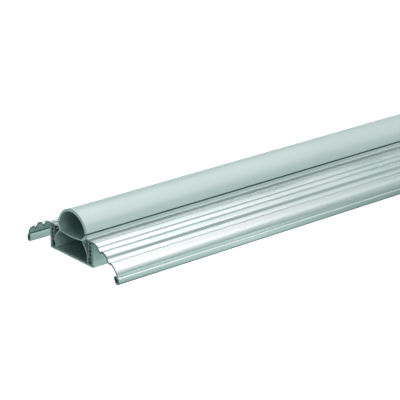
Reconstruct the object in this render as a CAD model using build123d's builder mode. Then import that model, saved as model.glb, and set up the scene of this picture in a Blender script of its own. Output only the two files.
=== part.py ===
from build123d import *
from math import cos, radians
import os

# Adjustable door threshold: an aluminium channel screwed to the floor, a ramp hooked into
# each of its toothed walls, and a vinyl insert whose hollow bulb seals against the door.
# Millimetres. X runs across the doorway towards its outer side, Y along the threshold and
# +Z up. The origin lies under the middle of the channel, at the level of the ramps' feet.

# Sizes shared by all four pieces
LENGTH = 914.4  # cut for a 36 inch doorway
SEAT_GAP = 0.1  # between flat faces that rest on each other
SIDE_CLEARANCE = 0.3  # between pieces that slide past each other

# Channel
CHANNEL_WIDTH = 44.45  # as wide as the door is thick, 1-3/4 inch
CHANNEL_HEIGHT = 15.7
CHANNEL_LIFT = 3.2  # from the ramps' feet up to the channel's underside
FLOOR_THICKNESS = 1.7
WALL_THICKNESS = 1.75  # behind the teeth
EDGE_RADIUS = 0.4

# Teeth, the same on a channel wall and on the leg that faces it
TOOTH_DEPTH = 0.85
TOOTH_PITCH = 2.54
TOOTH_WIDTH = 2.0  # at its root
TOOTH_ANGLE = 52  # of its flanks to the wall, in degrees
TOOTH_SINK = 0.2  # of the root inside the wall that carries it
TOP_CREST_DROP = 1.6  # from the wall's top down to the highest crest
WALL_TEETH = 5
LEG_TEETH = 4

# Floor screws, number 8 countersunk
SCREW_HOLE_RADIUS = 2.4
SCREW_SINK_RADIUS = 3.2
SCREW_PITCH = 266.7
SCREW_COUNT = 4

# Ramps
RAMP_REACH = 25.4  # beyond the channel's wall, 1 inch
PLATE_THICKNESS = 1.25  # also of the leg
CORNER_RADIUS = 1.0  # on the middle line, where the plate turns down into the leg
FLUTE_SIDE = 0.4  # of the square that cuts a flute with its corner
FLUTE_COUNT = 2
FLUTE_SPACING = 1.7
FLUTE_SHIFT = -0.25  # of the flutes' middle from the channel's outer face, towards the foot

# Feet of the ramps
HEM_THICKNESS = 1.2  # skirt and sole
SOLE_RADIUS = 0.7  # on the middle line
LEDGE_RADIUS = 0.4  # of the ledge's crisp outer corner
LIP_THICKNESS = 0.9
LEDGE_LEVEL = 4.6  # top of the ledge, above the sole
SOLE_INSET = 3.1  # from the skirt's outer face to the lip's foot
OUTER_LIP_LEAN = 1.8  # how far the outer ramp's lip leans in under the plate
OUTER_LIP_HEIGHT = 4.4
INNER_LIP_LEAN = 0.0
INNER_LIP_HEIGHT = 5.3

# Vinyl insert
BULB_SIDE_RADIUS = 12.5  # on the middle line, as the crown's
BULB_CROWN_RADIUS = 14.55
BULB_SIDE_ARC = 45  # degrees on each side, tangent to the crown's arc between them
BULB_CROWN_ARC = 180 - 2 * BULB_SIDE_ARC
BULB_WALL = 1.9
BULB_LEVEL = 18.1  # of its widest line above the channel's underside
BULB_OFFSET = 1.2  # the soft bulb leans to the outer side
CREASE_LEVEL = 19.8  # of the groove in each side of the bulb, above the channel's underside
CREASE_WIDTH = 0.7
CREASE_DEPTH = 1.0
CREASE_TILT = 20  # degrees, upwards into the wall
WEB_THICKNESS = 1.0
WEB_HALF_WIDTH = 11.4
WEB_LEVEL = 14.9  # of the web's ends above the channel's underside
WEB_SAG = 1.0
INSERT_LEG_THICKNESS = 0.95
INNER_KNEE_LEVEL = 10.0  # where the splayed leg turns straight down
OUTER_KNEE_LEVEL = 7.2
INSERT_KNEE_RADIUS = 2.5
SHOULDER_THICKNESS = 1.3
SHOULDER_LEVEL = 16.6  # of the shoulder's outer end above the channel's underside
SHOULDER_ROOT_SHARE = 0.85  # of the way from the web's end up to the bulb's widest line
SHOULDER_TIP_DISTANCE = 16.65  # from the threshold's middle
BARB_THICKNESS = 0.7
BARB_ROOT_SHARE = 0.4  # of the way from the web's end up to the bulb's widest line
BARB_TIP_DISTANCE = 15.6
BARB_TIP_DROP = 0.4  # below the web's end

half_channel = CHANNEL_WIDTH / 2
channel_floor_top = CHANNEL_LIFT + FLOOR_THICKNESS
channel_top = CHANNEL_LIFT + CHANNEL_HEIGHT
top_crest = channel_top - TOP_CREST_DROP
wall_face = half_channel - WALL_THICKNESS
leg_outer_face = wall_face - 2 * TOOTH_DEPTH - SIDE_CLEARANCE
leg_inner_face = leg_outer_face - PLATE_THICKNESS


def tooth_row(root_face, points_to, count):
    """Teeth that stand on a vertical face, from the highest crest downwards."""
    lowest_crest = top_crest - (count - 1) * TOOTH_PITCH
    middle = (top_crest + lowest_crest) / 2
    half_height = (TOOTH_DEPTH + TOOTH_SINK) / 2
    tooth_middle = root_face + points_to * (half_height - TOOTH_SINK)
    with BuildSketch(mode=Mode.PRIVATE) as row:
        with Locations((tooth_middle, middle)):
            with GridLocations(0, TOOTH_PITCH, 1, count):
                Trapezoid(
                    TOOTH_WIDTH,
                    TOOTH_DEPTH + TOOTH_SINK,
                    TOOTH_ANGLE,
                    rotation=-90 * points_to,
                )
    return row.sketch


# Channel: a floor and two walls with teeth on their inner faces
with BuildPart() as base_channel:
    with BuildSketch(Plane.XZ) as channel_section:
        with Locations((0, CHANNEL_LIFT)):
            Rectangle(CHANNEL_WIDTH, FLOOR_THICKNESS, align=(Align.CENTER, Align.MIN))
        with Locations((half_channel, CHANNEL_LIFT)):
            Rectangle(WALL_THICKNESS, CHANNEL_HEIGHT, align=(Align.MAX, Align.MIN))
        add(tooth_row(wall_face, -1, WALL_TEETH))
        mirror(about=Plane.YZ)
        outer_corners = channel_section.vertices().group_by(Axis.X)
        fillet(outer_corners[0] + outer_corners[-1], EDGE_RADIUS)
    extrude(amount=LENGTH / 2, both=True)
    with Locations((0, 0, channel_floor_top)):
        with GridLocations(0, SCREW_PITCH, 1, SCREW_COUNT):
            CounterSinkHole(SCREW_HOLE_RADIUS, SCREW_SINK_RADIUS, depth=2 * FLOOR_THICKNESS)
base_channel.part.label = "base_channel"


# Ramps: each a stepped plate on a toothed leg, ending in a hooked foot
plate_level = channel_top + SEAT_GAP + PLATE_THICKNESS / 2
leg_bottom = top_crest - (LEG_TEETH - 0.5) * TOOTH_PITCH
leg_middle = (leg_inner_face + leg_outer_face) / 2
skirt_middle = half_channel + RAMP_REACH - HEM_THICKNESS / 2
neck_middle = skirt_middle - PLATE_THICKNESS
flutes_middle = (half_channel + FLUTE_SHIFT, plate_level + PLATE_THICKNESS / 2)
sole_middle = HEM_THICKNESS / 2
ledge_middle = LEDGE_LEVEL - HEM_THICKNESS / 2
lip_foot = half_channel + RAMP_REACH - SOLE_INSET

# The steps' corners on the plate's middle line: distance from the channel's wall, drop
# below the flat top, and the radius that rounds the corner
STEP_CORNERS = [
    (1.6, 0.0, 5.0),
    (4.35, 1.1, 0.8),
    (4.95, 2.15, 0.8),
    (6.2, 3.45, 1.2),
    (7.5, 4.1, 0.9),
    (9.0, 3.05, 0.8),
    (10.6, 3.3, 2.5),
    (12.6, 4.15, 1.2),
    (13.9, 5.75, 0.8),
    (14.6, 7.4, 0.9),
    (16.3, 8.5, 0.9),
    (17.8, 7.8, 1.3),
    (21.5, 10.2, 9.0),
]
NECK_HEIGHT = 1.9  # above the foot's ledge, where the plate turns straight down
NECK_RADIUS = 2.0


def ramp_section(lip_lean, lip_height):
    """Section of the ramp on the outer side, with its foot's lip of the given form."""
    step_points = [(half_channel + d, plate_level - drop) for d, drop, radius in STEP_CORNERS]
    step_radii = [radius for d, drop, radius in STEP_CORNERS]
    plate_points = [
        (leg_middle, leg_bottom),
        (leg_middle, plate_level),
        *step_points,
        (neck_middle, LEDGE_LEVEL + NECK_HEIGHT),
        (neck_middle, LEDGE_LEVEL - HEM_THICKNESS),
    ]
    hem_points = [
        (neck_middle, ledge_middle),
        (skirt_middle, ledge_middle),
        (skirt_middle, sole_middle),
        (lip_foot, sole_middle),
    ]
    with BuildSketch(mode=Mode.PRIVATE) as section:
        with BuildLine():
            FilletPolyline(*hem_points, radius=[0, SOLE_RADIUS])
        trace(line_width=HEM_THICKNESS)
        ledge_corner = section.vertices().group_by(Axis.X)[-1].sort_by(Axis.Y)[-1]
        fillet(ledge_corner, LEDGE_RADIUS)
        with BuildLine():
            FilletPolyline(*plate_points, radius=[CORNER_RADIUS, *step_radii, NECK_RADIUS])
        trace(line_width=PLATE_THICKNESS)
        with Locations(flutes_middle):
            with GridLocations(FLUTE_SPACING, 0, FLUTE_COUNT, 1):
                Rectangle(FLUTE_SIDE, FLUTE_SIDE, rotation=45, mode=Mode.SUBTRACT)
        add(tooth_row(leg_outer_face, 1, LEG_TEETH))
        with BuildLine():
            Line((lip_foot, sole_middle), (lip_foot - lip_lean, lip_height))
        trace(line_width=LIP_THICKNESS)
    return section.sketch


with BuildPart() as outer_ramp:
    with BuildSketch(Plane.XZ):
        add(ramp_section(OUTER_LIP_LEAN, OUTER_LIP_HEIGHT))
    extrude(amount=LENGTH / 2, both=True)
outer_ramp.part.label = "outer_ramp"

with BuildPart() as inner_ramp:
    with BuildSketch(Plane.XZ):
        add(ramp_section(INNER_LIP_LEAN, INNER_LIP_HEIGHT))
        mirror(about=Plane.YZ, mode=Mode.REPLACE)
    extrude(amount=LENGTH / 2, both=True)
inner_ramp.part.label = "inner_ramp"


# Vinyl insert: a bulb on a web, splayed legs that stand on the channel's floor between the
# ramps' legs, and a shoulder and a barb on each side that close the gap beside the bulb
insert_edge = leg_inner_face - SIDE_CLEARANCE
insert_leg_middle = insert_edge - INSERT_LEG_THICKNESS / 2
insert_foot_level = channel_floor_top + SEAT_GAP
side_arc_centre = (BULB_CROWN_RADIUS - BULB_SIDE_RADIUS) * cos(radians(BULB_SIDE_ARC))
bulb_half_width = side_arc_centre + BULB_SIDE_RADIUS
crease_mouth = bulb_half_width + BULB_WALL / 2
bulb_level = CHANNEL_LIFT + BULB_LEVEL
web_level = CHANNEL_LIFT + WEB_LEVEL
shoulder_level = CHANNEL_LIFT + SHOULDER_LEVEL


def point_between(start, end, share):
    """Point on the straight line between two points, at the given share of the way."""
    return tuple(a + (b - a) * share for a, b in zip(start, end))


with BuildPart() as vinyl_insert:
    with BuildSketch(Plane.XZ):
        for side, knee_height in ((-1, INNER_KNEE_LEVEL), (1, OUTER_KNEE_LEVEL)):
            web_end = (side * WEB_HALF_WIDTH, web_level)
            bulb_end = (BULB_OFFSET + side * bulb_half_width, bulb_level)
            shoulder_root = point_between(web_end, bulb_end, SHOULDER_ROOT_SHARE)
            barb_root = point_between(web_end, bulb_end, BARB_ROOT_SHARE)
            knee = (side * insert_leg_middle, CHANNEL_LIFT + knee_height)
            leg_foot = (side * insert_leg_middle, insert_foot_level)
            with BuildLine():
                FilletPolyline(web_end, knee, leg_foot, radius=INSERT_KNEE_RADIUS)
            trace(line_width=INSERT_LEG_THICKNESS)
            with BuildLine():
                Line(shoulder_root, (side * SHOULDER_TIP_DISTANCE, shoulder_level))
            trace(line_width=SHOULDER_THICKNESS)
            with BuildLine():
                Line(barb_root, (side * BARB_TIP_DISTANCE, web_level - BARB_TIP_DROP))
            trace(line_width=BARB_THICKNESS)
        with BuildLine():
            rising_wall = Line(
                (WEB_HALF_WIDTH, web_level), (BULB_OFFSET + bulb_half_width, bulb_level)
            )
            outer_side = JernArc(rising_wall @ 1, (0, 1), BULB_SIDE_RADIUS, BULB_SIDE_ARC)
            crown = JernArc(outer_side @ 1, outer_side % 1, BULB_CROWN_RADIUS, BULB_CROWN_ARC)
            inner_side = JernArc(crown @ 1, crown % 1, BULB_SIDE_RADIUS, BULB_SIDE_ARC)
            Line(inner_side @ 1, (-WEB_HALF_WIDTH, web_level))
        trace(line_width=BULB_WALL)
        with BuildLine():
            SagittaArc((-WEB_HALF_WIDTH, web_level), (WEB_HALF_WIDTH, web_level), -WEB_SAG)
        trace(line_width=WEB_THICKNESS)
        for side in (-1, 1):
            with Locations((BULB_OFFSET + side * crease_mouth, CHANNEL_LIFT + CREASE_LEVEL)):
                Rectangle(
                    2 * CREASE_DEPTH,
                    CREASE_WIDTH,
                    rotation=-side * CREASE_TILT,
                    mode=Mode.SUBTRACT,
                )
    extrude(amount=LENGTH / 2, both=True)
vinyl_insert.part.label = "vinyl_insert"

os.makedirs("parts", exist_ok=True)
for piece in (base_channel, outer_ramp, inner_ramp, vinyl_insert):
    export_step(piece.part, f"parts/{piece.part.label}.step")
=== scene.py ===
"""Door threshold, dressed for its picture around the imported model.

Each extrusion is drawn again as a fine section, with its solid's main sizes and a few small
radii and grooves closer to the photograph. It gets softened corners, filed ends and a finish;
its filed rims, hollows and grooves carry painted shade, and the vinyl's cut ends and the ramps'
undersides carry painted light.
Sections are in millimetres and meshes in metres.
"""

import logging
import math
from dataclasses import dataclass, field
from enum import Enum

import bmesh
import bpy
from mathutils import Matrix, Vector
from mathutils.geometry import delaunay_2d_cdt, intersect_point_line


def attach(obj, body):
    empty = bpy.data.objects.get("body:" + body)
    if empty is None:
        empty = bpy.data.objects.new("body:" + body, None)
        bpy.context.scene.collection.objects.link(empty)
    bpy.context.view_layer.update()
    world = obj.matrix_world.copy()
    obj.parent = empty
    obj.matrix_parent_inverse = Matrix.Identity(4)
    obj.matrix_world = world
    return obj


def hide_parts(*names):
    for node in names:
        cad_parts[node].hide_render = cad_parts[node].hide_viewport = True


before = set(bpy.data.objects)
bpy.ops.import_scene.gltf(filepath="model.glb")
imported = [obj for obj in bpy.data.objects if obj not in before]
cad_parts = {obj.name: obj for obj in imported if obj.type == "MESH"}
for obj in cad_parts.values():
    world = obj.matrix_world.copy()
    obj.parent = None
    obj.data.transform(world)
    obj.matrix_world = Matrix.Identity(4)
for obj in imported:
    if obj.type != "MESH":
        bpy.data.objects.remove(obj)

MM = 0.001
ARC_STEP = math.radians(6.0)
CREASE_ANGLE = math.radians(32.0)
NO_TURN = 1e-6
PARALLEL = 1e-9
JOINING_TOLERANCE = 1e-5
FILLING_TOLERANCE = 1e-7
TRIANGLES_INSIDE = 1

Point = tuple[float, float]
Polygon = list[Point]
Place = tuple[float, float, float]
Stretch = tuple[float, float, float]
Colour = tuple[float, float, float]
Finishes = list[bpy.types.Material]
Socket = bpy.types.NodeSocket

WARM: Colour = (1.0, 0.74, 0.78)
COOL: Colour = (0.82, 1.0, 0.95)

log = logging.getLogger("threshold")


class Side(Enum):
    """The two sides of the doorway, with the sign of their X."""

    INNER = -1
    OUTER = 1


class Surface(Enum):
    """The kinds of surface on an extrusion, with their place among its materials."""

    LONG = 0
    # CUT faces of the vinyl get a near-white material: painted light.
    CUT = 1
    # EDGE faces, the thin filed rims round each cut end, get a dark material: painted shade.
    EDGE = 2
    # HIDDEN faces get painted shade inside the vinyl's hollows and painted light under the ramps.
    HIDDEN = 3
    # GROOVE faces get a near-black material: painted shade.
    GROOVE = 4


def turn_at(before: Point, corner: Point, after: Point) -> float:
    """Angle by which a path turns at a corner.

    Args:
        before: The path's point before the corner.
        corner: The corner.
        after: The path's point after it.

    Returns:
        The turn in radians, positive to the left.
    """
    heading_in = math.atan2(corner[1] - before[1], corner[0] - before[0])
    heading_out = math.atan2(after[1] - corner[1], after[0] - corner[0])
    return (heading_out - heading_in + math.pi) % math.tau - math.pi


def rounded_corner(before: Point, corner: Point, after: Point, radius: float) -> list[Point]:
    """Points of the arc that rounds a corner.

    Args:
        before: The path's point before the corner.
        corner: The corner.
        after: The path's point after it.
        radius: The arc's radius; zero keeps the corner.

    Returns:
        The arc's points, or the corner alone.
    """
    turn = turn_at(before, corner, after)
    if radius <= 0 or abs(turn) < NO_TURN:
        return [corner]
    a, b = Vector(before), Vector(corner)
    reach = radius * math.tan(abs(turn) / 2)
    start = b + (a - b).normalized() * reach
    inward = (b - a).normalized().orthogonal() * math.copysign(1, turn)
    centre = start + inward * radius
    first = math.atan2(start.y - centre.y, start.x - centre.x)
    steps = max(2, math.ceil(abs(turn) / ARC_STEP))
    return [
        (
            centre.x + radius * math.cos(first + turn * i / steps),
            centre.y + radius * math.sin(first + turn * i / steps),
        )
        for i in range(steps + 1)
    ]


def rounded_path(points: list[Point], radii: list[float]) -> list[Point]:
    """An open path with its corners rounded.

    Args:
        points: The path's points.
        radii: One radius for each point between the first and the last.

    Returns:
        The path's points, arcs included.
    """
    path = [points[0]]
    for i, radius in enumerate(radii):
        path += rounded_corner(points[i], points[i + 1], points[i + 2], radius)
    return path + [points[-1]]


def beside(points: list[Point], radii: list[float], distance: float) -> list[Point]:
    """The path that runs beside another one at a fixed distance.

    Args:
        points: The first path's points.
        radii: Its corners' radii.
        distance: How far to the left the new path lies.

    Returns:
        The new path's points, arcs included.
    """
    lines = []
    for a, b in zip(points, points[1:]):
        along = (Vector(b) - Vector(a)).normalized()
        shift = Vector((-along.y, along.x)) * distance
        lines.append((Vector(a) + shift, Vector(b) + shift))
    moved = [tuple(lines[0][0])]
    for (a, b), (c, d) in zip(lines, lines[1:]):
        u, w = b - a, d - c
        cross = u.x * w.y - u.y * w.x
        if abs(cross) < PARALLEL:
            moved.append(tuple(b))
        else:
            share = ((c.x - a.x) * w.y - (c.y - a.y) * w.x) / cross
            moved.append(tuple(a + u * share))
    moved.append(tuple(lines[-1][1]))
    new_radii = []
    for i, radius in enumerate(radii):
        turn = turn_at(points[i], points[i + 1], points[i + 2])
        new_radii.append(max(0.0, radius - distance * math.copysign(1.0, turn)))
    return rounded_path(moved, new_radii)


@dataclass
class Drawing:
    """A section drawn from overlapping shapes, in millimetres.

    Attributes:
        shapes: Closed outlines that add material.
        cuts: Closed outlines that take it away.
    """

    shapes: list[Polygon] = field(default_factory=list)
    cuts: list[Polygon] = field(default_factory=list)

    def strip(self, points: list[Point], radii: list[float], width: float) -> None:
        """Adds a wall of even thickness along a path.

        Args:
            points: The points of the wall's middle line.
            radii: The radii of its corners.
            width: The wall's thickness.
        """
        left = beside(points, radii, width / 2)
        right = beside(points, radii, -width / 2)
        self.shapes.append(left + right[::-1])

    def arc_strip(
        self, centre: Point, radius: float, start: float, sweep: float, width: float
    ) -> None:
        """Adds a wall of even thickness along an arc.

        Args:
            centre: The arc's centre.
            radius: The radius of the wall's middle line.
            start: The angle of its first end, in radians.
            sweep: The angle that it covers, in radians.
            width: The wall's thickness.
        """
        steps = max(2, math.ceil(abs(sweep) / ARC_STEP * 2))
        angles = [start + sweep * i / steps for i in range(steps + 1)]

        def ring(r: float) -> list[Point]:
            """Points of the arc with another radius."""
            return [(centre[0] + r * math.cos(a), centre[1] + r * math.sin(a)) for a in angles]

        self.shapes.append(ring(radius + width / 2) + ring(radius - width / 2)[::-1])

    def mirrored(self) -> "Drawing":
        """The same section, mirrored across the threshold's middle."""
        return Drawing(
            [[(-x, z) for x, z in shape] for shape in self.shapes],
            [[(-x, z) for x, z in cut] for cut in self.cuts],
        )

    def outlines(self) -> list[Polygon]:
        """The section's outlines, once all its shapes are joined and its cuts taken out.

        Returns:
            Closed outlines, each with the material on its left.
        """
        points, faces = [], []
        for shape in self.shapes + self.cuts:
            outline = shape if signed_area(shape) > 0 else shape[::-1]
            faces.append(list(range(len(points), len(points) + len(outline))))
            points += [Vector(p) for p in outline]
        corners, _, triangles, _, _, sources = delaunay_2d_cdt(
            points, [], faces, TRIANGLES_INSIDE, JOINING_TOLERANCE
        )
        first_cut = len(self.shapes)
        sides = set()
        for triangle, source in zip(triangles, sources):
            if source and min(source) < first_cut and max(source) < first_cut:
                sides |= {(a, b) for a, b in zip(triangle, triangle[1:] + triangle[:1])}
        following = {a: b for a, b in sides if (b, a) not in sides}
        loops = []
        while following:
            start, here = next(iter(following.items()))
            loop = [start]
            del following[start]
            while here != start:
                loop.append(here)
                here = following.pop(here)
            loops.append(tidy_loop([tuple(corners[i]) for i in loop]))
        return loops


def signed_area(outline: Polygon) -> float:
    """Area of a closed outline, positive when it runs anticlockwise."""
    return sum(
        (outline[i - 1][0] * z - x * outline[i - 1][1]) / 2 for i, (x, z) in enumerate(outline)
    )


def tidy_loop(loop: Polygon, shortest: float = 0.012, straight: float = 0.004) -> Polygon:
    """A closed outline without points that it doesn't need.

    Args:
        loop: The outline.
        shortest: The shortest side that stays, in millimetres.
        straight: The smallest turn that keeps a point, in radians.

    Returns:
        The outline with fewer points.
    """
    spaced = []
    for point in loop:
        if not spaced or math.dist(point, spaced[-1]) > shortest:
            spaced.append(point)
    if math.dist(spaced[0], spaced[-1]) <= shortest:
        spaced.pop()
    count = len(spaced)
    return [
        spaced[i]
        for i in range(count)
        if abs(turn_at(spaced[i - 1], spaced[i], spaced[(i + 1) % count])) > straight
    ]


def softened(loop: Polygon, radius: float) -> Polygon:
    """A closed outline with its sharp corners rounded, as a die leaves them.

    Args:
        loop: The outline.
        radius: The radius of its corners, in millimetres.

    Returns:
        The outline with rounded corners.
    """
    sharp, share_of_side = math.radians(22), 0.42
    soft = []
    for i, corner in enumerate(loop):
        before, after = loop[i - 1], loop[(i + 1) % len(loop)]
        turn = abs(turn_at(before, corner, after))
        if turn < sharp:
            soft.append(corner)
            continue
        room = min(math.dist(before, corner), math.dist(corner, after)) * share_of_side
        soft += rounded_corner(before, corner, after, min(radius, room / math.tan(turn / 2)))
    return soft


@dataclass(frozen=True)
class Extrusion:
    """How a section becomes a long piece.

    Attributes:
        length: The piece's length along Y, in millimetres.
        corner: The radius left by the die on sharp corners.
        filed: The width of the filed edge round each cut end.
        faces_to: Sign of the X that its show face looks to, or 0 for a piece that shows all round.
        painted_shade_in_grooves: Whether the faces of its grooves get a dark material of their own,
            painted shade.
    """

    length: float = 914.4
    corner: float = 0.12
    filed: float = 0.1
    faces_to: int = 0
    painted_shade_in_grooves: bool = False

    def surface(self, loop: Polygon, number: int, cuts: list[Polygon]) -> Surface:
        """The kind of surface that runs along one side of an outline.

        Args:
            loop: The outline.
            number: Which of its sides it is.
            cuts: The outlines that were taken away from the section.

        Returns:
            GROOVE in a groove that gets painted shade, HIDDEN inside a hollow (painted shade) and
            under a piece with a show face (painted light), otherwise LONG.
        """
        (x, z), (next_x, next_z) = loop[number], loop[(number + 1) % len(loop)]
        middle = Vector(((x + next_x) / 2, (z + next_z) / 2))
        # Faces of the cut grooves take the GROOVE material, which is painted shade.
        if self.painted_shade_in_grooves and any(lies_on(cut, middle) for cut in cuts):
            return Surface.GROOVE
        run = math.dist((x, z), (next_x, next_z))
        outward, upward = (next_z - z) / run, (x - next_x) / run
        downward_from, outward_from = -0.05, 0.5
        turned_away = outward * self.faces_to < outward_from
        under = self.faces_to and upward < downward_from and turned_away
        # HIDDEN faces take painted shade inside the vinyl's hollows and painted light under the
        # ramps.
        return Surface.HIDDEN if under or signed_area(loop) < 0 else Surface.LONG

    def mesh(self, name: str, drawing: Drawing) -> bpy.types.Mesh:
        """Builds the closed mesh of the piece.

        Args:
            name: The mesh's name.
            drawing: The piece's section.

        Returns:
            The mesh, in metres, with a material index for each kind of surface.
        """
        loops = [softened(loop, self.corner) for loop in drawing.outlines()]
        ends = [shrunk(loop, self.filed) for loop in loops]
        half = self.length / 2
        inner = half - self.filed
        work = bmesh.new()
        rings = [
            [[work.verts.new((x * MM, y * MM, z * MM)) for x, z in row] for row in rows]
            for y, rows in ((-half, ends), (-inner, loops), (inner, loops), (half, ends))
        ]
        for near, far in zip(rings, rings[1:]):
            at_edge = near is not rings[1]
            for loop, near_row, far_row in zip(loops, near, far):
                for i in range(len(loop)):
                    j = (i + 1) % len(loop)
                    face = work.faces.new((near_row[i], near_row[j], far_row[j], far_row[i]))
                    surface = Surface.EDGE if at_edge else self.surface(loop, i, drawing.cuts)
                    face.material_index = surface.value
                    face.smooth = True
        first, last = ([vert for row in ring for vert in row] for ring in (rings[0], rings[-1]))
        for triangle in filled(loops):
            for verts, order in ((first, triangle), (last, triangle[::-1])):
                face = work.faces.new([verts[i] for i in order])
                face.material_index = Surface.CUT.value
        bmesh.ops.recalc_face_normals(work, faces=work.faces)
        mesh = bpy.data.meshes.new(name)
        work.to_mesh(mesh)
        work.free()
        mesh.set_sharp_from_angle(angle=CREASE_ANGLE)
        return mesh


def shrunk(loop: Polygon, inset: float) -> Polygon:
    """A closed outline moved into its material.

    Args:
        loop: The outline, with its material on the left.
        inset: How far each side moves.

    Returns:
        The moved outline, with as many points.
    """
    least_cosine = 0.625
    moved = []
    for i, corner in enumerate(loop):
        before, after = loop[i - 1], loop[(i + 1) % len(loop)]
        a, b, c = Vector(before), Vector(corner), Vector(after)
        first, second = (b - a).normalized(), (c - b).normalized()
        inward = Vector((-first.y - second.y, first.x + second.x))
        inward.normalize()
        stretch = 1 / max(least_cosine, math.cos(turn_at(before, corner, after) / 2))
        moved.append(tuple(b + inward * inset * stretch))
    return moved


def lies_on(outline: Polygon, point: Vector, tolerance: float = 0.12) -> bool:
    """Whether a point lies on the line of a closed outline.

    Args:
        outline: The outline.
        point: The point.
        tolerance: How far off the line it may be, in millimetres.

    Returns:
        True if it is on one of the outline's sides.
    """
    for i, corner in enumerate(outline):
        nearest, share = intersect_point_line(point, Vector(outline[i - 1]), Vector(corner))
        if 0 <= share <= 1 and math.dist(nearest[:2], point) < tolerance:
            return True
    return False


def filled(loops: list[Polygon]) -> list[list[int]]:
    """The triangles that fill a section.

    Args:
        loops: The section's outlines.

    Returns:
        Triangles of point numbers, counted through all the outlines.
    """
    points, edges = [], []
    for loop in loops:
        first, count = len(points), len(loop)
        points += [Vector(p) for p in loop]
        edges += [(first + i, first + (i + 1) % count) for i in range(count)]
    corners, _, triangles, sources, _, _ = delaunay_2d_cdt(
        points, edges, [], TRIANGLES_INSIDE, FILLING_TOLERANCE
    )
    kept = []
    for triangle in triangles:
        middle = sum((corners[i] for i in triangle), Vector((0.0, 0.0))) / 3
        if sum(surrounds(loop, middle) for loop in loops) % 2:
            kept.append([sources[i][0] for i in triangle])
    return kept


def surrounds(loop: Polygon, point: Vector) -> bool:
    """Whether an outline goes round a point.

    Args:
        loop: The closed outline.
        point: The point.

    Returns:
        True if the point lies inside the outline.
    """
    inside = False
    for i, (x, z) in enumerate(loop):
        last_x, last_z = loop[i - 1]
        if (z > point.y) != (last_z > point.y):
            crossing = x + (point.y - z) / (last_z - z) * (last_x - x)
            inside ^= point.x < crossing
    return inside


class Nodes:
    """A short way to write a node tree, of a material or of the world."""

    def __init__(self, tree: bpy.types.NodeTree) -> None:
        """Keeps the tree, emptied."""
        self.tree = tree
        tree.nodes.clear()

    def add(self, kind: str, **values: object) -> bpy.types.Node:
        """Adds a node.

        Args:
            kind: The node's type.
            **values: Properties of the node.

        Returns:
            The node.
        """
        node = self.tree.nodes.new(kind)
        for key, value in values.items():
            setattr(node, key, value)
        return node

    def link(self, source: Socket, target: Socket) -> None:
        """Joins two sockets."""
        self.tree.links.new(source, target)

    def stretched_noise(self, stretch: Stretch, scale: float, detail: float) -> Socket:
        """A noise texture drawn out along the piece.

        Args:
            stretch: The scale of X, Y and Z before the noise.
            scale: The noise's scale.
            detail: The noise's octaves.

        Returns:
            The noise's value.
        """
        place = self.add("ShaderNodeTexCoord")
        mapping = self.add("ShaderNodeMapping")
        mapping.inputs["Scale"].default_value = stretch
        noise = self.add("ShaderNodeTexNoise")
        noise.inputs["Scale"].default_value = scale
        noise.inputs["Detail"].default_value = detail
        self.link(place.outputs["Object"], mapping.inputs["Vector"])
        self.link(mapping.outputs["Vector"], noise.inputs["Vector"])
        return noise.outputs["Fac"]

    def spread(
        self, source: Socket, low: float, high: float, start: float = 0.3, end: float = 0.7
    ) -> Socket:
        """Maps one range to another, by default the usual range of a noise.

        Args:
            source: The value.
            low: The result at the range's start and before it.
            high: The result at its end and beyond.
            start: The range's start.
            end: The range's end.

        Returns:
            The mapped value.
        """
        node = self.add("ShaderNodeMapRange")
        limits = {"From Min": start, "From Max": end, "To Min": low, "To Max": high}
        for key, value in limits.items():
            node.inputs[key].default_value = value
        self.link(source, node.inputs["Value"])
        return node.outputs["Result"]

    def math(self, operation: str, *values: Socket | float) -> Socket:
        """Adds a sum, product or other calculation.

        Args:
            operation: Its kind.
            *values: Sockets or plain numbers.

        Returns:
            The result.
        """
        node = self.add("ShaderNodeMath", operation=operation)
        for target, value in zip(node.inputs, values):
            if isinstance(value, Socket):
                self.link(value, target)
            else:
                target.default_value = value
        return node.outputs["Value"]


class ShaderNodes(Nodes):
    """The nodes of a material with one shader."""

    def __init__(self, name: str) -> None:
        """Starts the material, under its name."""
        self.material = bpy.data.materials.new(name)
        self.material.use_nodes = True
        super().__init__(self.material.node_tree)
        self.shader = self.add("ShaderNodeBsdfPrincipled")
        output = self.add("ShaderNodeOutputMaterial")
        self.link(self.shader.outputs["BSDF"], output.inputs["Surface"])

    def fix(self, socket: str, value: float | tuple[float, ...]) -> None:
        """Sets what is the same all over the surface, on the shader's own socket."""
        self.shader.inputs[socket].default_value = value

    def drive(self, socket: str, source: Socket) -> None:
        """Links a value that varies to one of the shader's sockets."""
        self.link(source, self.shader.inputs[socket])

    def colour(
        self, source: Socket, dull: Colour, light: Colour, start: float = 0.3, end: float = 0.7
    ) -> None:
        """Colours the surface between two tones.

        Args:
            source: The value that drives the colour.
            dull: The tone at the range's start and before it.
            light: The tone at its end and beyond.
            start: The range's start.
            end: The range's end.
        """
        ramp = self.add("ShaderNodeValToRGB")
        for element, position, tone in zip(ramp.color_ramp.elements, (start, end), (dull, light)):
            element.position = position
            element.color = (*tone, 1.0)
        self.link(source, ramp.inputs["Fac"])
        self.drive("Base Color", ramp.outputs["Color"])

    def emboss(self, source: Socket, strength: float, depth: float) -> None:
        """Gives the surface a fine relief.

        Args:
            source: The relief's height.
            strength: How strongly it shows.
            depth: Its depth, in metres.
        """
        bump = self.add("ShaderNodeBump")
        bump.inputs["Strength"].default_value = strength
        bump.inputs["Distance"].default_value = depth
        self.link(source, bump.inputs["Height"])
        self.drive("Normal", bump.outputs["Normal"])


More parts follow.
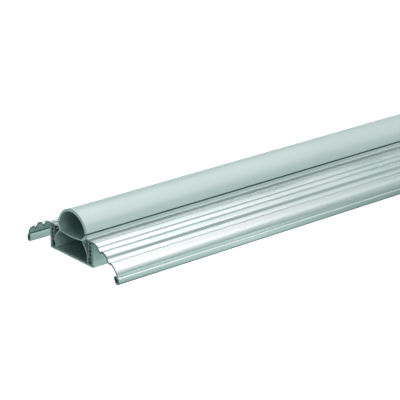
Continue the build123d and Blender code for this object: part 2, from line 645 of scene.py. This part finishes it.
@dataclass(frozen=True)
class SatinAluminium:
    """Extruded aluminium with a satin finish and fine lines from the die.

    Attributes:
        name: The material's name.
        light: Colour of its brighter streaks.
        dull: Colour of its duller streaks.
        roughness: Lowest and highest roughness.
        line_depth: Depth of the die lines, in metres.
        line_strength: How strongly they show.
        metallic: How much it reflects as metal.
    """

    name: str
    light: Colour
    dull: Colour
    roughness: tuple[float, float]
    line_depth: float = 0.000012
    line_strength: float = 0.12
    metallic: float = 0.9

    def build(self) -> bpy.types.Material:
        """Makes the material.

        Returns:
            The finished material.
        """
        nodes = ShaderNodes(self.name)
        nodes.fix("Metallic", self.metallic)
        lines = nodes.stretched_noise(stretch=(1.0, 0.004, 1.0), scale=2600.0, detail=3.0)
        streaks = nodes.stretched_noise(stretch=(1.0, 0.02, 1.0), scale=260.0, detail=4.0)
        clouds = nodes.stretched_noise(stretch=(1.0, 0.35, 1.0), scale=60.0, detail=3.0)
        nodes.colour(streaks, self.dull, self.light)
        nodes.drive("Roughness", nodes.spread(clouds, *self.roughness))
        nodes.emboss(lines, self.line_strength, self.line_depth)
        return nodes.material


@dataclass(frozen=True)
class SawnAluminium:
    """The dull cut ends of the extrusions, with marks of the saw.

    Attributes:
        name: The material's name.
        light: Colour of the ridges between the marks.
        dull: Colour in the marks.
        roughness: Roughness of the cut.
        mark_depth: Depth of the marks, in metres.
        mark_strength: How strongly they show.
        metallic: How much it reflects as metal.
    """

    name: str
    light: Colour
    dull: Colour
    roughness: float = 0.5
    mark_depth: float = 0.00003
    mark_strength: float = 0.6
    metallic: float = 0.6

    def build(self) -> bpy.types.Material:
        """Makes the material.

        Returns:
            The finished material.
        """
        nodes = ShaderNodes(self.name)
        nodes.fix("Metallic", self.metallic)
        nodes.fix("Roughness", self.roughness)
        marks = nodes.stretched_noise(stretch=(1.0, 1.0, 0.12), scale=2200.0, detail=2.0)
        nodes.colour(marks, self.dull, self.light, start=0.35, end=0.65)
        nodes.emboss(marks, self.mark_strength, self.mark_depth)
        return nodes.material


@dataclass(frozen=True)
class SoftVinyl:
    """Matt grey vinyl with a faint mottle and a soft sheen.

    Attributes:
        name: The material's name.
        light: Its lighter colour.
        dull: Its darker colour.
        roughness: Lowest and highest roughness.
        specular: How much its surface reflects.
        grain_depth: Depth of its fine grain, in metres.
        grain_strength: How strongly the grain shows.
    """

    name: str
    light: Colour
    dull: Colour
    roughness: tuple[float, float]
    specular: float = 1.0
    grain_depth: float = 0.00002
    grain_strength: float = 0.35

    def build(self) -> bpy.types.Material:
        """Makes the material.

        Returns:
            The finished material.
        """
        nodes = ShaderNodes(self.name)
        nodes.fix("Specular IOR Level", self.specular)
        mottle = nodes.stretched_noise(stretch=(1.0, 0.12, 1.0), scale=90.0, detail=3.0)
        grain = nodes.stretched_noise(stretch=(1.0, 0.5, 1.0), scale=2400.0, detail=2.0)
        nodes.colour(mottle, self.dull, self.light)
        nodes.drive("Roughness", nodes.spread(mottle, *self.roughness))
        nodes.emboss(grain, self.grain_strength, self.grain_depth)
        return nodes.material


@dataclass(frozen=True)
class Teeth:
    """The rows of teeth that hold a ramp's leg at its height.

    Attributes:
        depth: How far a tooth stands out.
        pitch: Distance from tooth to tooth.
        width: Width of a tooth's root.
        flank: Angle of its flanks to the wall, in degrees.
        sink: How deep the root reaches into the wall.
        top_crest: Level of the highest crest.
    """

    depth: float = 0.85
    pitch: float = 2.54
    width: float = 2.0
    flank: float = 52.0
    sink: float = 0.2
    top_crest: float = 17.3

    def draw(self, drawing: Drawing, root_face: float, points_to: int, count: int) -> None:
        """Adds a row of teeth to a section.

        Args:
            drawing: The section.
            root_face: X of the wall that carries them.
            points_to: The sign of the X that they point to.
            count: How many teeth the row has.
        """
        narrowing = (self.depth + self.sink) / math.tan(math.radians(self.flank))
        root = root_face - points_to * self.sink
        tip = root_face + points_to * self.depth
        for number in range(count):
            level = self.top_crest - number * self.pitch
            half_root = self.width / 2
            half_tip = half_root - narrowing
            tooth = [
                (root, level - half_root),
                (tip, level - half_tip),
                (tip, level + half_tip),
                (root, level + half_root),
            ]
            drawing.shapes.append(tooth)


@dataclass(frozen=True)
class Layout:
    """Sizes that several pieces share, in millimetres.

    Attributes:
        half_channel: Half the channel's width.
        channel_height: Height of its walls.
        channel_lift: From the ramps' feet up to its underside.
        floor: Thickness of its floor.
        wall: Thickness of its walls behind the teeth.
        seat_gap: Gap between faces that rest on each other.
        side_clearance: Gap between pieces that slide past each other.
        plate: Thickness of the ramps' plates and legs.
        teeth: The teeth's sizes.
    """

    half_channel: float = 22.225
    channel_height: float = 15.7
    channel_lift: float = 3.2
    floor: float = 1.7
    wall: float = 1.75
    seat_gap: float = 0.1
    side_clearance: float = 0.3
    plate: float = 1.25
    teeth: Teeth = Teeth()

    @property
    def channel_top(self) -> float:
        """Level of the walls' tops."""
        return self.channel_lift + self.channel_height

    @property
    def floor_top(self) -> float:
        """Level of the channel's floor."""
        return self.channel_lift + self.floor

    @property
    def wall_face(self) -> float:
        """Distance of the walls' inner faces from the middle."""
        return self.half_channel - self.wall

    @property
    def leg_outer_face(self) -> float:
        """Distance of the leg's toothed face from the middle."""
        return self.wall_face - 2 * self.teeth.depth - self.side_clearance

    @property
    def leg_inner_face(self) -> float:
        """Distance of the leg's plain face from the middle."""
        return self.leg_outer_face - self.plate


def new_object(name: str, data: bpy.types.ID) -> bpy.types.Object:
    """Makes an object and links it to the scene.

    Args:
        name: The object's name.
        data: Its mesh, light or camera.

    Returns:
        The new object.
    """
    item = bpy.data.objects.new(name, data)
    bpy.context.scene.collection.objects.link(item)
    return item


def point_at(item: bpy.types.Object, place: Place, direction: Vector) -> None:
    """Puts a light or camera in its place and turns it.

    Args:
        item: The light or camera.
        place: Its place, in metres.
        direction: The direction that it faces.
    """
    item.location = place
    item.rotation_mode = "QUATERNION"
    item.rotation_quaternion = direction.to_track_quat("-Z", "Y")


def place_piece(
    name: str, mesh: bpy.types.Mesh, finishes: Finishes, body: str, node: str
) -> bpy.types.Object:
    """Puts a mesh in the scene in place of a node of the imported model.

    Args:
        name: The piece's name.
        mesh: Its mesh.
        finishes: Its materials, in the order of Surface; empty if the mesh has them already.
        body: The body that it rides on.
        node: The node that it stands for.

    Returns:
        The new object.
    """
    piece = new_object(name, mesh)
    for finish in finishes:
        mesh.materials.append(finish)
    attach(piece, body)
    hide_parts(node)
    log.info("%s: %d faces on %s", name, len(mesh.polygons), body)
    return piece


@dataclass
class BaseChannel:
    """The channel that is screwed to the floor.

    Attributes:
        layout: The shared sizes.
        edge_radius: Radius of its four outer corners.
        wall_teeth: Teeth on each wall.
        hole_radius: Radius of the screw holes.
        sink_radius: Radius of their countersinks at the floor's top.
        sink_depth: Depth of the countersinks.
        drill_overrun: How far the cutters reach past the floor's faces.
        hole_pitch: Distance from hole to hole.
        holes: How many screw holes there are.
    """

    layout: Layout = Layout()
    edge_radius: float = 0.4
    wall_teeth: int = 5
    hole_radius: float = 2.4
    sink_radius: float = 3.2
    sink_depth: float = 0.92
    drill_overrun: float = 1.0
    hole_pitch: float = 266.7
    holes: int = 4

    def section(self) -> Drawing:
        """Draws the channel's section.

        Returns:
            The drawing.
        """
        at = self.layout
        bottom, top, edge, radius = at.channel_lift, at.channel_top, at.half_channel, self.edge_radius
        drawing = Drawing()
        floor = [(-edge, bottom), (edge, bottom), (edge, at.floor_top), (-edge, at.floor_top)]
        drawing.shapes.append(rounded_polygon(floor, [radius, radius, 0.0, 0.0]))
        for side in Side:
            x = side.value
            face, outside = x * at.wall_face, x * edge
            wall = [(face, bottom), (outside, bottom), (outside, top), (face, top)]
            drawing.shapes.append(rounded_polygon(wall, [0.0, radius, radius, 0.0]))
            at.teeth.draw(drawing, face, -x, self.wall_teeth)
        return drawing

    def drill(self) -> bpy.types.Object:
        """Makes the solids that cut the screw holes.

        Returns:
            One object with all of them.
        """
        at = self.layout
        work = bmesh.new()
        facets, over = 40, self.drill_overrun
        widening = (self.sink_radius - self.hole_radius) / self.sink_depth * over
        profile = [
            (self.hole_radius, at.channel_lift - over),
            (self.hole_radius, at.floor_top - self.sink_depth),
            (self.sink_radius, at.floor_top),
            (self.sink_radius + widening, at.floor_top + over),
        ]
        angles = [math.tau * i / facets for i in range(facets)]
        for number in range(self.holes):
            y = (number - (self.holes - 1) / 2) * self.hole_pitch
            rings = [
                [
                    work.verts.new((r * math.cos(a) * MM, (y + r * math.sin(a)) * MM, level * MM))
                    for a in angles
                ]
                for r, level in profile
            ]
            for low, high in zip(rings, rings[1:]):
                for i in range(facets):
                    j = (i + 1) % facets
                    work.faces.new((low[i], low[j], high[j], high[i]))
            work.faces.new(rings[0][::-1])
            work.faces.new(rings[-1])
        mesh = bpy.data.meshes.new("screw_hole_cutters")
        work.to_mesh(mesh)
        work.free()
        return new_object("screw_hole_cutters", mesh)

    def build(self, finishes: Finishes) -> bpy.types.Object:
        """Makes the channel with its drilled floor.

        Args:
            finishes: Its materials, in the order of Surface, as far as EDGE.

        Returns:
            The channel.
        """
        solid = Extrusion().mesh("channel_blank", self.section())
        for finish in finishes:
            solid.materials.append(finish)
        blank = new_object("channel_blank", solid)
        cutter = self.drill()
        drilling = blank.modifiers.new("drilling", "BOOLEAN")
        drilling.operation = "DIFFERENCE"
        drilling.solver = "EXACT"
        drilling.object = cutter
        bpy.context.view_layer.update()
        graph = bpy.context.evaluated_depsgraph_get()
        drilled = bpy.data.meshes.new_from_object(blank.evaluated_get(graph))
        drilled.name = "channel"
        for old in (blank, cutter):
            bpy.data.objects.remove(old)
        drilled.set_sharp_from_angle(angle=CREASE_ANGLE)
        return place_piece("channel", drilled, [], "base", "base_channel")


def rounded_polygon(points: list[Point], radii: list[float]) -> Polygon:
    """A closed outline with a radius at each corner.

    Args:
        points: The corners.
        radii: Their radii.

    Returns:
        The outline.
    """
    outline = []
    for i, radius in enumerate(radii):
        outline += rounded_corner(points[i - 1], points[i], points[(i + 1) % len(points)], radius)
    return outline


@dataclass
class Ramp:
    """A stepped ramp on a toothed leg, with a hooked foot.

    Attributes:
        side: The side of the doorway that it covers.
        lip_lean: How far the foot's lip leans in under the plate.
        lip_height: Level of the lip's top.
        layout: The shared sizes.
        reach: How far it runs beyond the channel.
        corner_radius: Radius where the plate turns down into the leg.
        leg_teeth: Teeth on the leg.
        hem: Thickness of the foot's skirt and sole.
        lip: Thickness of its lip.
        sole_radius: Radius of the foot's lower corner.
        ledge_level: Top of the foot's ledge.
        ledge_radius: Radius of the ledge's outer corner.
        sole_inset: From the skirt's outer face to the lip's foot.
        neck_height: Height above the ledge where the plate turns straight down.
        neck_radius: Radius of that turn.
        flute_depth: Depth of the fine flutes on the flat top.
        flute_places: Their distances from the channel's outer face.
        steps: Corners of the plate: distance from the channel, drop and radius.
    """

    side: Side
    lip_lean: float
    lip_height: float
    layout: Layout = Layout()
    reach: float = 25.4
    corner_radius: float = 0.3
    leg_teeth: int = 4
    hem: float = 1.2
    lip: float = 0.9
    sole_radius: float = 0.7
    ledge_level: float = 4.6
    ledge_radius: float = 1.05
    sole_inset: float = 3.1
    neck_height: float = 1.9
    neck_radius: float = 2.0
    flute_depth: float = 0.283
    flute_places: tuple[float, float] = (-1.1, 0.6)
    steps: tuple[tuple[float, float, float], ...] = (
        (1.6, 0.0, 5.0),
        (4.35, 1.1, 0.8),
        (4.95, 2.15, 0.8),
        (6.2, 3.45, 1.2),
        (7.5, 4.1, 0.9),
        (9.0, 3.05, 0.8),
        (10.6, 3.3, 2.5),
        (12.6, 4.1, 1.0),
        (13.2, 4.75, 0.8),
        (13.95, 6.4, 0.9),
        (15.2, 7.75, 1.2),
        (16.3, 8.5, 0.9),
        (17.8, 7.8, 1.3),
        (21.5, 10.2, 9.0),
    )

    def section(self) -> Drawing:
        """Draws the ramp's section on the outer side, mirrored for the inner ramp.

        Returns:
            The drawing.
        """
        at = self.layout
        edge = at.half_channel
        foot_edge = edge + self.reach
        level = at.channel_top + at.seat_gap + at.plate / 2
        leg = (at.leg_inner_face + at.leg_outer_face) / 2
        leg_bottom = at.teeth.top_crest - (self.leg_teeth - 0.5) * at.teeth.pitch
        skirt = foot_edge - self.hem / 2
        neck = skirt - at.plate
        ledge = self.ledge_level - self.hem
        drawing = Drawing()
        plate = [
            (leg, leg_bottom),
            (leg, level),
            *((edge + distance, level - drop) for distance, drop, _ in self.steps),
            (neck, self.ledge_level + self.neck_height),
            (neck, ledge),
        ]
        radii = [self.corner_radius, *(radius for _, _, radius in self.steps), self.neck_radius]
        drawing.strip(plate, radii, at.plate)
        at.teeth.draw(drawing, at.leg_outer_face, 1, self.leg_teeth)
        ledge_block = [
            (neck, ledge),
            (foot_edge, ledge),
            (foot_edge, self.ledge_level),
            (neck, self.ledge_level),
        ]
        drawing.shapes.append(rounded_polygon(ledge_block, [0.0, 0.0, self.ledge_radius, 0.0]))
        lip_foot = foot_edge - self.sole_inset
        hem = [(skirt, ledge + self.hem / 2), (skirt, self.hem / 2), (lip_foot, self.hem / 2)]
        drawing.strip(hem, [self.sole_radius], self.hem)
        lip = [(lip_foot, self.hem / 2), (lip_foot - self.lip_lean, self.lip_height)]
        drawing.strip(lip, [], self.lip)
        top, half = level + at.plate / 2, self.flute_depth
        for place in self.flute_places:
            x = edge + place
            flute = [(x - half, top), (x, top - half), (x + half, top), (x, top + half)]
            drawing.cuts.append(flute)
        return drawing

    def build(self, finishes: Finishes) -> bpy.types.Object:
        """Makes the ramp.

        Args:
            finishes: Its materials, in the order of Surface.

        Returns:
            The ramp.
        """
        drawing = self.section()
        if self.side is Side.INNER:
            drawing = drawing.mirrored()
        node = f"{self.side.name.lower()}_ramp"
        name = f"{node}_metal"
        mesh = Extrusion(faces_to=self.side.value).mesh(name, drawing)
        return place_piece(name, mesh, finishes, f"{node}_body", node)


@dataclass
class VinylInsert:
    """The vinyl insert with its hollow sealing bulb.

    Levels are measured from the channel's underside.

    Attributes:
        layout: The shared sizes.
        side_radius: Radius of the bulb's sides, on the wall's middle line.
        crown_radius: Radius of its crown.
        side_arc: Angle of each side's arc, in degrees.
        bulb_wall: Thickness of the bulb's wall.
        bulb_level: Level of its widest line.
        bulb_offset: How far it leans to the outer side.
        bulb_overlap: How far the walls that carry it run up past its widest line.
        crease_level: Level of the groove in each side of the bulb.
        crease_width: Width of that groove.
        crease_depth: Its depth.
        crease_tilt: How much it runs upwards into the wall, in degrees; downwards below 0.
        web: Thickness of the web.
        web_half_width: Half the web's width.
        web_level: Level of the web's ends.
        web_sag: How far its middle hangs.
        leg: Thickness of the legs.
        knee_levels: Where each leg turns straight down, inner and outer.
        knee_radius: Radius of that turn.
        shoulder: Thickness of the shoulders.
        shoulder_level: Level of their tips.
        shoulder_share: Where they leave the bulb's wall.
        shoulder_tip: Distance of their tips from the middle.
        barb: Thickness of the barbs.
        barb_share: Where they leave the bulb's wall.
        barb_tip: Distance of their tips from the middle.
        barb_drop: How far their tips lie below the web's ends.
    """

    layout: Layout = Layout()
    side_radius: float = 12.5
    crown_radius: float = 14.55
    side_arc: float = 45.0
    bulb_wall: float = 1.9
    bulb_level: float = 18.05
    bulb_offset: float = 1.2
    bulb_overlap: float = 0.4
    crease_level: float = 19.9
    crease_width: float = 0.8
    crease_depth: float = 1.7
    crease_tilt: float = -15.0
    web: float = 1.0
    web_half_width: float = 11.4
    web_level: float = 14.9
    web_sag: float = 1.0
    leg: float = 0.95
    knee_levels: tuple[float, float] = (10.0, 7.2)
    knee_radius: float = 2.5
    shoulder: float = 1.3
    shoulder_level: float = 16.6
    shoulder_share: float = 0.85
    shoulder_tip: float = 17.0
    barb: float = 0.7
    barb_share: float = 0.4
    barb_tip: float = 15.6
    barb_drop: float = 0.4

    @property
    def bulb_half_width(self) -> float:
        """Half the bulb's width, to the middle line of its wall."""
        arc = math.radians(self.side_arc)
        return (self.crown_radius - self.side_radius) * math.cos(arc) + self.side_radius

    def draw_bulb(self, drawing: Drawing) -> None:
        """Adds the bulb and the two walls that carry it.

        Args:
            drawing: The section.
        """
        level = self.layout.channel_lift + self.bulb_level
        arc = math.radians(self.side_arc)
        between_centres = self.crown_radius - self.side_radius
        spread, drop = between_centres * math.cos(arc), between_centres * math.sin(arc)
        for side in Side:
            centre = (self.bulb_offset + side.value * spread, level)
            start = 0.0 if side is Side.OUTER else math.pi - arc
            drawing.arc_strip(centre, self.side_radius, start, arc, self.bulb_wall)
        crown = (self.bulb_offset, level - drop)
        drawing.arc_strip(crown, self.crown_radius, arc, math.pi - 2 * arc, self.bulb_wall)
        for side in Side:
            x = self.bulb_offset + side.value * self.bulb_half_width
            foot = (side.value * self.web_half_width, self.layout.channel_lift + self.web_level)
            wall = [foot, (x, level), (x, level + self.bulb_overlap)]
            drawing.strip(wall, [0.0], self.bulb_wall)

    def cut_creases(self, drawing: Drawing) -> None:
        """Takes the groove out of each side of the bulb.

        Args:
            drawing: The section.
        """
        tilt = math.radians(self.crease_tilt)
        mouth = self.bulb_half_width + self.bulb_wall / 2
        level = self.layout.channel_lift + self.crease_level
        for side in Side:
            inward = Vector((-side.value * math.cos(tilt), math.sin(tilt))) * self.crease_depth
            across = inward.orthogonal().normalized() * self.crease_width / 2
            middle = Vector((self.bulb_offset + side.value * mouth, level))
            near, far = middle - inward, middle + inward
            corners = (near - across, far - across, far + across, near + across)
            drawing.cuts.append([tuple(corner) for corner in corners])

    def wall_point(self, side: Side, share: float) -> Point:
        """A point on the wall between the web's end and the bulb.

        Args:
            side: The side of the insert.
            share: The share of the way up.

        Returns:
            The point.
        """
        foot_x = side.value * self.web_half_width
        top_x = self.bulb_offset + side.value * self.bulb_half_width
        lift = self.layout.channel_lift
        return (
            foot_x + (top_x - foot_x) * share,
            lift + self.web_level + (self.bulb_level - self.web_level) * share,
        )

    def section(self) -> Drawing:
        """Draws the insert's section.

        Returns:
            The drawing.
        """
        at = self.layout
        lift = at.channel_lift
        leg_middle = at.leg_inner_face - at.side_clearance - self.leg / 2
        drawing = Drawing()
        self.draw_bulb(drawing)
        for side, knee_level in zip(Side, self.knee_levels):
            x = side.value
            web_end = (x * self.web_half_width, lift + self.web_level)
            leg = [
                web_end,
                (x * leg_middle, lift + knee_level),
                (x * leg_middle, at.floor_top + at.seat_gap),
            ]
            drawing.strip(leg, [self.knee_radius], self.leg)
            shoulder_root = self.wall_point(side, self.shoulder_share)
            shoulder_tip = (x * self.shoulder_tip, lift + self.shoulder_level)
            drawing.strip([shoulder_root, shoulder_tip], [], self.shoulder)
            barb_root = self.wall_point(side, self.barb_share)
            barb_tip = (x * self.barb_tip, lift + self.web_level - self.barb_drop)
            drawing.strip([barb_root, barb_tip], [], self.barb)
        half = self.web_half_width
        web_radius = (half**2 + self.web_sag**2) / (2 * self.web_sag)
        web_arc = 2 * math.asin(half / web_radius)
        centre = (0.0, lift + self.web_level - self.web_sag + web_radius)
        drawing.arc_strip(centre, web_radius, -math.pi / 2 - web_arc / 2, web_arc, self.web)
        self.cut_creases(drawing)
        return drawing

    def build(self, finishes: Finishes) -> bpy.types.Object:
        """Makes the insert.

        Args:
            finishes: Its materials, in the order of Surface.

        Returns:
            The insert.
        """
        name = "vinyl_insert_soft"
        soft = Extrusion(corner=0.22, filed=0.2, painted_shade_in_grooves=True)
        mesh = soft.mesh(name, self.section())
        return place_piece(name, mesh, finishes, "base", "vinyl_insert")


@dataclass(frozen=True)
class Glow:
    """A soft patch of light on the dome round the studio.

    Attributes:
        azimuth: Direction of its middle, in degrees from +X towards +Y.
        half_width: Half the width of its even part, in degrees.
        bottom: Elevation of that part's lower edge.
        top: Elevation of its upper edge.
        strength: Its brightness.
        side_fade: How far it fades out to each side, in degrees.
        edge_fade: How far it fades out above and below, in degrees.
    """

    azimuth: float
    half_width: float
    bottom: float
    top: float
    strength: float
    side_fade: float = 45.0
    edge_fade: float = 17.0

    def light(self, nodes: Nodes, azimuth: Socket, elevation: Socket) -> Socket:
        """The light that comes from a direction.

        Args:
            nodes: The tree of the world's nodes.
            azimuth: The direction's azimuth, in radians.
            elevation: Its elevation, in radians.

        Returns:
            The brightness.
        """
        side_fade, edge_fade = math.radians(self.side_fade), math.radians(self.edge_fade)
        reach, low, high = (math.radians(x) for x in (self.half_width, self.bottom, self.top))
        aside = nodes.math("SUBTRACT", azimuth, math.radians(self.azimuth))
        aside = nodes.math("ABSOLUTE", nodes.math("WRAP", aside, math.pi, -math.pi))
        beside_it = nodes.spread(aside, self.strength, 0.0, reach, reach + side_fade)
        below_it = nodes.spread(elevation, 0.0, 1.0, low - edge_fade, low)
        above_it = nodes.spread(elevation, 1.0, 0.0, high, high + edge_fade)
        return nodes.math("MULTIPLY", nodes.math("MULTIPLY", beside_it, below_it), above_it)


@dataclass(frozen=True)
class Softbox:
    """A soft area light.

    Attributes:
        name: The light's name.
        place: Where it hangs, in metres.
        aim: The point that it faces.
        size: Its width and height, in metres.
        power: Its power, in watts.
        tint: The colour of its light.
    """

    name: str
    place: Place
    aim: Place
    size: tuple[float, float]
    power: float
    tint: Colour

    def hang(self) -> None:
        """Adds the light to the scene."""
        light = bpy.data.lights.new(self.name, "AREA")
        light.shape = "RECTANGLE"
        light.size, light.size_y = self.size
        light.energy = self.power
        light.color = self.tint
        direction = Vector(self.aim) - Vector(self.place)
        point_at(new_object(self.name, light), self.place, direction)


@dataclass
class Studio:
    """The floor, the soft light and the camera.

    The lights' places, strengths and tints are set so that the picture's tones come near to the
    photograph's.

    Attributes:
        camera_place: Where the camera stands, in metres.
        azimuth: Its direction round the object, in degrees.
        elevation: How far it looks down, in degrees.
        lens: Its focal length, in millimetres.
        sensor: Its sensor's width, in millimetres.
        clip: The nearest and farthest distance that it sees, in metres.
        floor_half: Half the floor's size, in metres.
        dome: Colour of the even light from all round.
        glow_tint: Colour of the brighter patches on the dome.
        glows: Those patches.
        softboxes: The area lights.
    """

    camera_place: Place = (0.8732, -1.0831, 0.4503)
    azimuth: float = 50.14
    elevation: float = 20.9
    lens: float = 169.34
    sensor: float = 36.0
    clip: tuple[float, float] = (0.05, 60.0)
    floor_half: float = 15.0
    dome: Colour = (0.17, 0.27, 0.255)
    glow_tint: Colour = (0.97, 1.0, 1.0)
    glows: tuple[Glow, ...] = (
        Glow(azimuth=135, half_width=0, bottom=65, top=65, strength=11.6),
        Glow(azimuth=22, half_width=22, bottom=50, top=65, strength=1.55),
        Glow(azimuth=68, half_width=22, bottom=35, top=50, strength=0.43),
        Glow(azimuth=135, half_width=0, bottom=35, top=35, strength=0.4),
        Glow(azimuth=45, half_width=0, bottom=-10, top=20, strength=0.48),
        Glow(azimuth=158, half_width=22, bottom=-10, top=-10, strength=6.5),
    )
    softboxes: tuple[Softbox, ...] = (
        Softbox("top_softbox", (0.36, -0.05, 0.75), (0.36, -0.05, 0.0), (1.0, 0.7), 2.6, WARM),
        Softbox("right_softbox", (0.4, -0.5, 0.2), (0.0, -0.45, 0.0), (0.2, 0.2), 0.56, COOL),
        Softbox("low_softbox", (0.5, -0.05, -0.15), (0.04, -0.42, 0.0), (0.25, 0.25), 0.19, COOL),
    )

    def floor(self) -> None:
        """Lays the pale floor."""
        half = self.floor_half
        mesh = bpy.data.meshes.new("floor")
        corners = [(-half, -half, 0), (half, -half, 0), (half, half, 0), (-half, half, 0)]
        mesh.from_pydata(corners, [], [(0, 1, 2, 3)])
        floor = new_object("floor", mesh)
        nodes = ShaderNodes("pale_floor")
        nodes.fix("Base Color", (0.8, 0.8, 0.8, 1.0))
        nodes.fix("Roughness", 0.9)
        nodes.fix("Emission Color", (1.0, 1.0, 1.0, 1.0))
        nodes.fix("Emission Strength", 1.0)
        mesh.materials.append(nodes.material)
        floor.visible_glossy = False
        floor.visible_diffuse = False
        floor.visible_shadow = False

    def sky(self) -> None:
        """Makes the dome of soft light with its brighter patches."""
        world = bpy.data.worlds.new("studio")
        bpy.context.scene.world = world
        world.use_nodes = True
        nodes = Nodes(world.node_tree)
        place = nodes.add("ShaderNodeTexCoord")
        split = nodes.add("ShaderNodeSeparateXYZ")
        nodes.link(place.outputs["Generated"], split.inputs["Vector"])
        elevation = nodes.math("ARCSINE", split.outputs["Z"])
        azimuth = nodes.math("ARCTAN2", split.outputs["Y"], split.outputs["X"])
        total = None
        for glow in self.glows:
            light = glow.light(nodes, azimuth, elevation)
            total = nodes.math("ADD", total, light) if total else light
        even = nodes.add("ShaderNodeBackground")
        even.inputs["Color"].default_value = (*self.dome, 1.0)
        bright = nodes.add("ShaderNodeBackground")
        nodes.link(total, bright.inputs["Strength"])
        bright.inputs["Color"].default_value = (*self.glow_tint, 1.0)
        both = nodes.add("ShaderNodeAddShader")
        nodes.link(even.outputs["Background"], both.inputs[0])
        nodes.link(bright.outputs["Background"], both.inputs[1])
        output = nodes.add("ShaderNodeOutputWorld")
        nodes.link(both.outputs["Shader"], output.inputs["Surface"])

    def camera(self) -> None:
        """Sets the camera at the photograph's place."""
        lens = bpy.data.cameras.new("camera")
        lens.sensor_width = self.sensor
        lens.lens = self.lens
        lens.clip_start, lens.clip_end = self.clip
        holder = new_object("camera", lens)
        a, e = math.radians(self.azimuth), math.radians(self.elevation)
        looks = Vector((-math.sin(a) * math.cos(e), math.cos(a) * math.cos(e), -math.sin(e)))
        point_at(holder, self.camera_place, looks)
        bpy.context.scene.camera = holder

    def build(self) -> None:
        """Sets up the whole studio."""
        self.floor()
        self.sky()
        for softbox in self.softboxes:
            softbox.hang()
        self.camera()
        bpy.context.scene.view_settings.view_transform = "Standard"


def main() -> None:
    """Builds the pieces in order."""
    logging.basicConfig(level=logging.INFO, format="%(name)s: %(message)s")
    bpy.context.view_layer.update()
    # Thin filed rim round each metal cut end: dark, painted shade along the edge.
    filed = SatinAluminium("filed_edge_painted_shade", (0.24, 0.29, 0.28), (0.14, 0.18, 0.17), (0.4, 0.5)).build()
    channel_finishes = [
        SatinAluminium("mill_channel", (0.71, 0.82, 0.80), (0.62, 0.72, 0.70), (0.34, 0.44)).build(),
        SawnAluminium("sawn_channel", (0.46, 0.54, 0.52), (0.20, 0.25, 0.24)).build(),
        filed,
    ]
    # Ramp faces that look down and away from the show face: a lighter, less metallic copy of the ramp
    # metal, painted light.
    underside = SatinAluminium(
        "underside_painted_light", (0.80, 0.90, 0.88), (0.72, 0.82, 0.80), (0.5, 0.6), metallic=0.5
    )
    ramp_finishes = [
        SatinAluminium("satin_ramp", (0.535, 0.59, 0.58), (0.47, 0.525, 0.515), (0.24, 0.34)).build(),
        SawnAluminium("sawn_ramp", (0.29, 0.35, 0.34), (0.13, 0.17, 0.16)).build(),
        filed,
        underside.build(),
    ]
    vinyl_finishes = [
        SoftVinyl("grey_vinyl", (0.475, 0.545, 0.53), (0.44, 0.515, 0.50), (0.34, 0.42)).build(),
        # Vinyl cut ends, much lighter than the vinyl itself: painted light on the cut faces.
        SoftVinyl("cut_vinyl_painted_light", (0.88, 0.94, 0.92), (0.82, 0.90, 0.88), (0.6, 0.7)).build(),
        # Thin rim round each vinyl cut end: dark, painted shade along the edge.
        SoftVinyl("vinyl_edge_painted_shade", (0.22, 0.27, 0.26), (0.16, 0.20, 0.19), (0.5, 0.6)).build(),
        # Faces inside the bulb and the chamber: a darker copy of the vinyl, painted shade.
        SoftVinyl("hollow_vinyl_painted_shade", (0.43, 0.50, 0.485), (0.38, 0.45, 0.43), (0.5, 0.6)).build(),
        # Faces of the creases in the bulb's sides: near black, painted shade.
        SoftVinyl("groove_painted_shade", (0.09, 0.19, 0.17), (0.06, 0.14, 0.13), (0.6, 0.7)).build(),
    ]
    BaseChannel().build(channel_finishes)
    Ramp(Side.INNER, lip_lean=0.0, lip_height=5.3).build(ramp_finishes)
    Ramp(Side.OUTER, lip_lean=1.8, lip_height=4.4).build(ramp_finishes)
    VinylInsert().build(vinyl_finishes)
    Studio().build()


if __name__ == "__main__":
    main()
